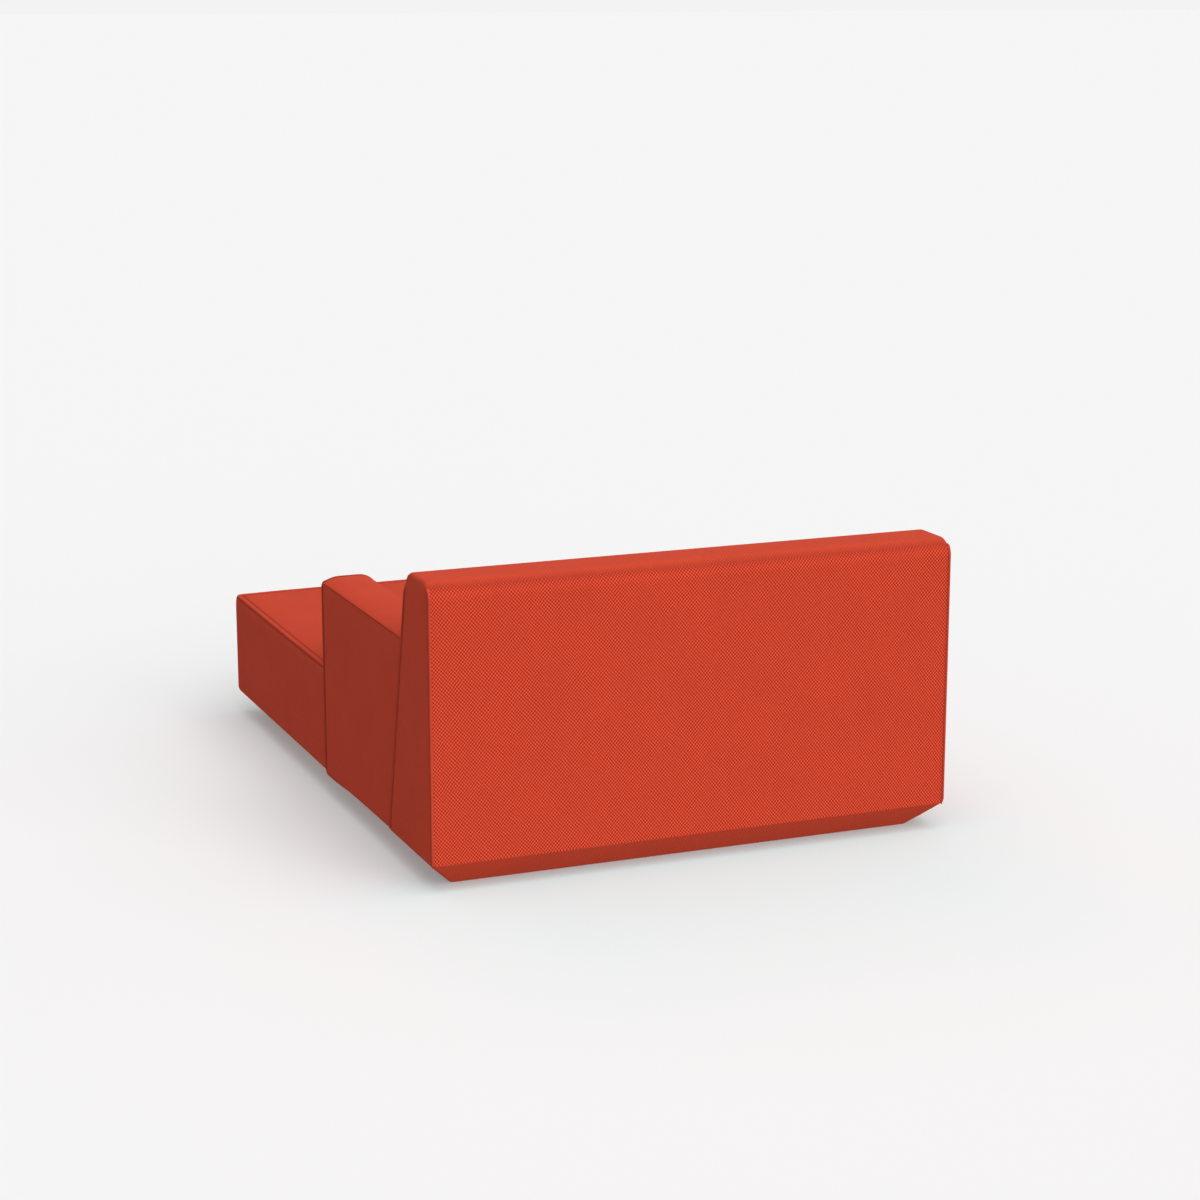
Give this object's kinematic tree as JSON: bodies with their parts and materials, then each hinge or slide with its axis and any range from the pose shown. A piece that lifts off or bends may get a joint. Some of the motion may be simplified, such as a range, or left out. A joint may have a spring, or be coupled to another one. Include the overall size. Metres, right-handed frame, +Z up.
{
  "type": "recamier daybed",
  "caption": "Low block-shaped upholstered daybed with a full-width leaning back, one short arm, a deep seat, a bevelled base and hidden levelling glides.",
  "frame": {"origin": "middle of the footprint, on the floor", "axes": "+Z up; the rear face of the back looks along +Y and the seat's front along -Y; the arm stands on the +X side and the open side is -X"},
  "size_m": [1.6, 2.08, 0.88],
  "materials": {
    "cover_cloth": "smooth brick red cloth",
    "rear_weave": "brick red cloth with small light dots in its weave",
    "bevel_cloth": "smooth brick red cloth",
    "welt_cloth": "dark red corded welt",
    "dust_cloth": "black spunbonded cloth",
    "webbing": "woven elastic webbing",
    "wadding": "white polyester wadding",
    "soft_foam": "open-cell foam",
    "firm_foam": "firm open-cell foam",
    "plywood": "raw plywood",
    "frame_wood": "planed softwood",
    "hardboard": "smooth hardboard",
    "zinc_steel": "zinc plated",
    "pad_plastic": "black moulded plastic"
  },
  "bodies": {
    "daybed": {"back_gables": "plywood", "back_ribs": "plywood", "back_top_rail": "frame_wood", "back_rear_rails": "frame_wood", "back_bolt_rail": "frame_wood", "back_plinth_bars": "frame_wood", "back_rear_board": "hardboard", "back_webbing": "webbing", "back_front_foam": "soft_foam", "back_top_foam": "soft_foam", "back_rear_wadding": "wadding", "back_side_wadding": "wadding", "back_rear_cover": "rear_weave", "back_wrap_cover": "cover_cloth", "back_arm_side_cover": "cover_cloth", "back_open_side_cover": "cover_cloth", "back_welts": "welt_cloth", "arm_outer_panel": "plywood", "arm_inner_panel": "plywood", "arm_end_boards": "plywood", "arm_top_rail": "frame_wood", "arm_bolt_rail": "frame_wood", "arm_plinth_bar": "frame_wood", "arm_top_foam": "soft_foam", "arm_inner_foam": "soft_foam", "arm_outer_wadding": "wadding", "arm_front_wadding": "wadding", "arm_outer_cover": "cover_cloth", "arm_wrap_cover": "cover_cloth", "arm_front_cover": "cover_cloth", "arm_welt": "welt_cloth", "seat_front_rail": "frame_wood", "seat_rear_rail": "frame_wood", "seat_side_rails": "frame_wood", "seat_inner_rail": "frame_wood", "seat_cross_rails": "frame_wood", "seat_plinth_bars": "frame_wood", "seat_long_webbing": "webbing", "seat_cross_webbing": "webbing", "seat_core_foam": "firm_foam", "seat_top_foam": "soft_foam", "seat_border_wadding": "wadding", "seat_border_cover": "cover_cloth", "seat_edge_roll": "cover_cloth", "seat_top_cover": "cover_cloth", "bevel_covers": "bevel_cloth", "dust_cover": "dust_cloth", "glide_blocks": "frame_wood", "glide_inserts": "zinc_steel", "unit_bolts": "zinc_steel", "tee_nuts": "zinc_steel"},
    "pad_1": {"glide_pad_1": "pad_plastic"},
    "pad_2": {"glide_pad_2": "pad_plastic"},
    "pad_3": {"glide_pad_3": "pad_plastic"},
    "pad_4": {"glide_pad_4": "pad_plastic"},
    "stem_1": {"glide_stem_1": "zinc_steel"},
    "stem_2": {"glide_stem_2": "zinc_steel"},
    "stem_3": {"glide_stem_3": "zinc_steel"},
    "stem_4": {"glide_stem_4": "zinc_steel"}
  },
  "joints": [
    {"name": "pad_travel_1", "type": "slide", "parent": "daybed", "child": "pad_1", "axis": [0, 0, -1], "range_m": [0, 0.012]},
    {"name": "pad_travel_2", "type": "slide", "parent": "daybed", "child": "pad_2", "axis": [0, 0, -1], "range_m": [0, 0.012]},
    {"name": "pad_travel_3", "type": "slide", "parent": "daybed", "child": "pad_3", "axis": [0, 0, -1], "range_m": [0, 0.012]},
    {"name": "pad_travel_4", "type": "slide", "parent": "daybed", "child": "pad_4", "axis": [0, 0, -1], "range_m": [0, 0.012]},
    {"name": "stem_turn_1", "type": "hinge", "parent": "pad_1", "child": "stem_1", "pos_m": [0.665, 0.905, 0.0033], "axis": [0, 0, -1], "range_deg": [0, 2880.5]},
    {"name": "stem_turn_2", "type": "hinge", "parent": "pad_2", "child": "stem_2", "pos_m": [-0.665, 0.905, 0.0033], "axis": [0, 0, -1], "range_deg": [0, 2880.5]},
    {"name": "stem_turn_3", "type": "hinge", "parent": "pad_3", "child": "stem_3", "pos_m": [0.665, -0.905, 0.0033], "axis": [0, 0, -1], "range_deg": [0, 2880.5]},
    {"name": "stem_turn_4", "type": "hinge", "parent": "pad_4", "child": "stem_4", "pos_m": [-0.665, -0.905, 0.0033], "axis": [0, 0, -1], "range_deg": [0, 2880.5]}
  ],
  "couplings": [
    {"joint": "stem_turn_1", "follows": "pad_travel_1", "rad_per_m": 4188.8},
    {"joint": "stem_turn_2", "follows": "pad_travel_2", "rad_per_m": 4188.8},
    {"joint": "stem_turn_3", "follows": "pad_travel_3", "rad_per_m": 4188.8},
    {"joint": "stem_turn_4", "follows": "pad_travel_4", "rad_per_m": 4188.8}
  ]
}
